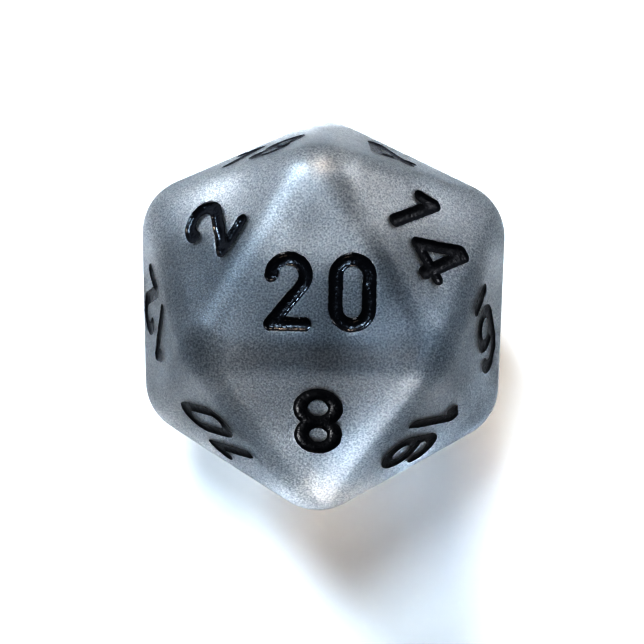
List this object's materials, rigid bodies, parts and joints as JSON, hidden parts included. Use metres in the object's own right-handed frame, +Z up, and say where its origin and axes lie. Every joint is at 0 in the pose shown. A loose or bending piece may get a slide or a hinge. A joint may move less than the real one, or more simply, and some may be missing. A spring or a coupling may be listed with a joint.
{
  "type": "polyhedral die",
  "caption": "Twenty-sided gaming die in frosted translucent plastic with rounded edges and engraved, black-filled numerals.",
  "frame": {"origin": "centre of the resting face, which is face 1", "axes": "+Z up, out of face 20; +Y to the corner above the numeral 20; +X to its right"},
  "size_m": [0.021, 0.0232, 0.02],
  "materials": {
    "frosted_plastic": "frosted and translucent, fine grain",
    "numeral_paint": "glossy black paint, set into the groove"
  },
  "bodies": {
    "root": {"die_body": "frosted_plastic", "numeral_01": "numeral_paint", "numeral_02": "numeral_paint", "numeral_03": "numeral_paint", "numeral_04": "numeral_paint", "numeral_05": "numeral_paint", "numeral_06": "numeral_paint", "numeral_07": "numeral_paint", "numeral_08": "numeral_paint", "numeral_09": "numeral_paint", "numeral_10": "numeral_paint", "numeral_11": "numeral_paint", "numeral_12": "numeral_paint", "numeral_13": "numeral_paint", "numeral_14": "numeral_paint", "numeral_15": "numeral_paint", "numeral_16": "numeral_paint", "numeral_17": "numeral_paint", "numeral_18": "numeral_paint", "numeral_19": "numeral_paint", "numeral_20": "numeral_paint"}
  },
  "joints": []
}
